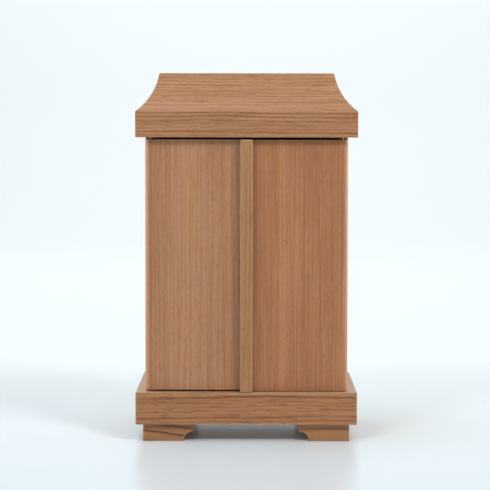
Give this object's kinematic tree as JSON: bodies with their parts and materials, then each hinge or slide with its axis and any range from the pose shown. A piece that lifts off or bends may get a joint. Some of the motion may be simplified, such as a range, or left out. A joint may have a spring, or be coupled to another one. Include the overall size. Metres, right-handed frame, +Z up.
{
  "type": "household altar cabinet",
  "caption": "Upright hollow wooden cabinet with a block roof of concave slopes, hinged leaf doors with a cover strip, a base board and moulded runner feet.",
  "frame": {"origin": "on the ground, under the middle of the cabinet", "axes": "+Z up, the doors face -Y, +X to the right of someone looking at the doors"},
  "size_m": [0.24, 0.18, 0.3993],
  "materials": {
    "roof_wood": "bare planed hardwood, matt, grain along X",
    "base_wood": "bare planed hardwood, matt, strong growth lines along X",
    "runner_wood": "bare planed hardwood, matt, grain along Y, end grain in front",
    "panel_wood": "bare planed hardwood, matt, grain upright",
    "door_wood": "bare planed hardwood, matt, fine straight upright grain",
    "strip_wood": "bare planed hardwood, matt, fine straight upright grain",
    "pin_brass": "dull turned metal"
  },
  "bodies": {
    "carcass": {"roof": "roof_wood", "base_board": "base_wood", "runner_left": "runner_wood", "runner_right": "runner_wood", "side_panel_left": "panel_wood", "side_panel_right": "panel_wood", "back_panel": "panel_wood", "pivot_pin_left_top": "pin_brass", "pivot_pin_left_bottom": "pin_brass", "pivot_pin_right_top": "pin_brass", "pivot_pin_right_bottom": "pin_brass"},
    "right_leaf": {"door_right": "door_wood", "meeting_strip": "strip_wood"},
    "left_leaf": {"door_left": "door_wood"}
  },
  "joints": [
    {"name": "right_door_swing", "type": "hinge", "parent": "carcass", "child": "right_leaf", "pos_m": [0.104, -0.074, 0.19], "axis": [0, 0, 1], "range_deg": [0, 180]},
    {"name": "left_door_swing", "type": "hinge", "parent": "carcass", "child": "left_leaf", "pos_m": [-0.104, -0.074, 0.19], "axis": [0, 0, -1], "range_deg": [0, 180]}
  ],
  "couplings": [
    {"joint": "left_door_swing", "follows": "right_door_swing", "ratio": 1}
  ]
}
